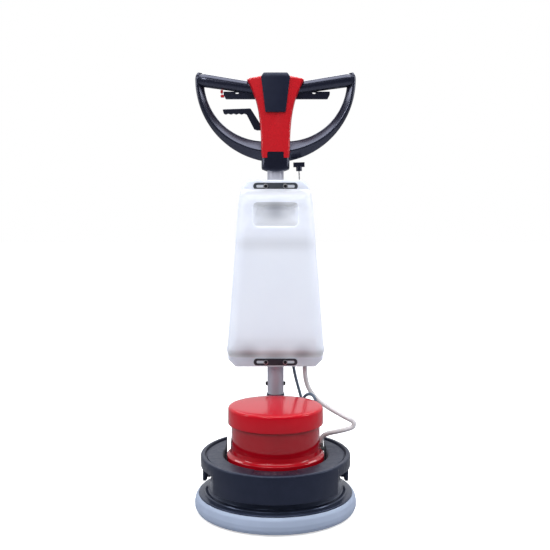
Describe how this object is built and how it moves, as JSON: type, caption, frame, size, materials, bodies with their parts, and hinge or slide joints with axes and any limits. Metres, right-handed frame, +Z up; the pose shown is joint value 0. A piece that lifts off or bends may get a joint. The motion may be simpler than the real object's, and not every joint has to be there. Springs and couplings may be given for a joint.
{
  "type": "rotary floor machine",
  "caption": "Single-disc rotary floor scrubber: round brush deck with bumper and counterweight, upright motor, solution tank and ring handle that tilts back on a yoke with wheels.",
  "frame": {"origin": "middle of the machine's footprint on the floor, with the brush's bristle tips at z = 0", "axes": "+Z up, the operator stands at +Y, +X to the right as seen from the front at -Y looking along +Y"},
  "size_m": [0.488, 0.577, 1.27],
  "materials": {
    "aluminium": "cast",
    "beech": "planed",
    "black_paint": "gloss",
    "black_plastic": "satin",
    "bristle": "fibre",
    "bumper_grey": "satin",
    "cable_rubber": "matt",
    "cast_grey": "rough painted",
    "chrome_steel": "polished",
    "dark_steel": "satin",
    "fitting_grey": "satin",
    "graphite_plate": "satin",
    "hose_plastic": "translucent",
    "navy_plastic": "satin",
    "red_paint": "gloss",
    "red_plastic": "gloss",
    "steel": "brushed",
    "tank_plastic": "translucent satin",
    "tyre_rubber": "matt",
    "wheel_plastic": "satin"
  },
  "bodies": {
    "base": {"deck": "black_paint", "bumper": "bumper_grey", "counterweight": "cast_grey", "gear_case": "red_paint", "ring_gear": "steel", "motor_body": "red_paint", "stator": "dark_steel", "bearings": "steel", "motor_cap": "red_plastic", "yoke": "dark_steel", "pivot_pin_and_drum": "steel", "yoke_bolts": "dark_steel", "wheel_axle": "steel", "axle_sleeves": "dark_steel", "hose_connector": "fitting_grey", "cable_gland": "fitting_grey", "power_cable": "cable_rubber", "solution_hose": "hose_plastic"},
    "rotor": {"sun_shaft": "steel", "rotor_core": "dark_steel", "fan": "black_plastic"},
    "brush_carrier": {"planet_carrier": "steel", "drive_plate": "aluminium", "brush_block": "beech", "brush_bristles": "bristle"},
    "planet_1": {"planet_gear_1": "steel"},
    "planet_2": {"planet_gear_2": "steel"},
    "planet_3": {"planet_gear_3": "steel"},
    "wheel_left": {"wheel_rim_left": "wheel_plastic", "tyre_left": "tyre_rubber"},
    "wheel_right": {"wheel_rim_right": "wheel_plastic", "tyre_right": "tyre_rubber"},
    "handle": {"tube_foot": "aluminium", "foot_screws": "dark_steel", "handle_tube": "chrome_steel", "cable_grommet": "black_plastic", "tank": "tank_plastic", "clamp_plate_upper": "graphite_plate", "clamp_plate_lower": "graphite_plate", "clamp_saddles": "dark_steel", "clamp_bolts": "dark_steel", "tank_outlet": "fitting_grey", "front_cover": "red_plastic", "rear_shell": "black_plastic", "cover_panel": "navy_plastic", "collar": "navy_plastic", "mains_gland": "black_plastic", "switch_gear": "black_plastic", "handle_left": "black_plastic", "handle_right": "black_plastic", "hinge_posts": "steel", "lock_spring": "steel"},
    "tilt_lock": {"lock_rod": "steel", "lock_shoe": "tyre_rubber"},
    "trigger_left": {"trigger_left": "black_plastic"},
    "trigger_right": {"trigger_right": "black_plastic"},
    "safety_catch": {"safety_catch": "red_plastic"},
    "release_lever": {"release_lever": "black_plastic"},
    "water_valve": {"valve_knob": "black_plastic", "valve_rod": "chrome_steel"}
  },
  "joints": [
    {"name": "handle_tilt", "type": "hinge", "parent": "base", "child": "handle", "pos_m": [0, 0.1435, 0.14], "axis": [-1, 0, 0], "range_deg": [0, 65], "deforming": ["power_cable", "solution_hose"]},
    {"name": "brush_spin", "type": "hinge", "parent": "base", "child": "brush_carrier", "pos_m": [0, -0.0565, 0.06], "axis": [0, 0, 1], "continuous": true},
    {"name": "rotor_spin", "type": "hinge", "parent": "base", "child": "rotor", "pos_m": [0, -0.0565, 0.22], "axis": [0, 0, 1], "continuous": true},
    {"name": "wheel_left_spin", "type": "hinge", "parent": "base", "child": "wheel_left", "pos_m": [-0.126, 0.2235, 0.069], "axis": [1, 0, 0], "continuous": true},
    {"name": "wheel_right_spin", "type": "hinge", "parent": "base", "child": "wheel_right", "pos_m": [0.126, 0.2235, 0.069], "axis": [1, 0, 0], "continuous": true},
    {"name": "release_squeeze", "type": "hinge", "parent": "handle", "child": "release_lever", "pos_m": [0.02, 0.1435, 1.112], "axis": [0, 1, 0], "range_deg": [0, 8], "stiffness_Nm_per_rad": 4, "springref_deg": -11.46},
    {"name": "lock_slide", "type": "slide", "parent": "handle", "child": "tilt_lock", "axis": [0, 0, 1], "range_m": [0, 0.003], "deforming": ["lock_spring"]},
    {"name": "trigger_left_pull", "type": "hinge", "parent": "handle", "child": "trigger_left", "pos_m": [-0.056, 0.1435, 1.206], "axis": [0, 1, 0], "range_deg": [0, 5], "stiffness_Nm_per_rad": 1.5, "springref_deg": -8.59},
    {"name": "trigger_right_pull", "type": "hinge", "parent": "handle", "child": "trigger_right", "pos_m": [0.056, 0.1435, 1.206], "axis": [0, -1, 0], "range_deg": [0, 5], "stiffness_Nm_per_rad": 1.5, "springref_deg": -8.59},
    {"name": "safety_slide", "type": "slide", "parent": "handle", "child": "safety_catch", "axis": [-1, 0, 0], "range_m": [0, 0.004], "stiffness_N_per_m": 300, "springref_m": -0.002},
    {"name": "valve_lift", "type": "slide", "parent": "handle", "child": "water_valve", "axis": [-0.0314, 0, 0.9995], "range_m": [0, 0.01]},
    {"name": "planet_1_spin", "type": "hinge", "parent": "brush_carrier", "child": "planet_1", "pos_m": [0.051, -0.0565, 0.123], "axis": [0, 0, 1], "continuous": true},
    {"name": "planet_2_spin", "type": "hinge", "parent": "brush_carrier", "child": "planet_2", "pos_m": [-0.0255, -0.01233, 0.123], "axis": [0, 0, 1], "continuous": true},
    {"name": "planet_3_spin", "type": "hinge", "parent": "brush_carrier", "child": "planet_3", "pos_m": [-0.0255, -0.10067, 0.123], "axis": [0, 0, 1], "continuous": true}
  ],
  "couplings": [
    {"joint": "rotor_spin", "follows": "brush_spin", "ratio": 8.5},
    {"joint": "lock_slide", "follows": "release_squeeze", "m_per_rad": 0.02},
    {"joint": "planet_1_spin", "follows": "brush_spin", "ratio": -2.3077},
    {"joint": "planet_2_spin", "follows": "brush_spin", "ratio": -2.3077},
    {"joint": "planet_3_spin", "follows": "brush_spin", "ratio": -2.3077}
  ]
}
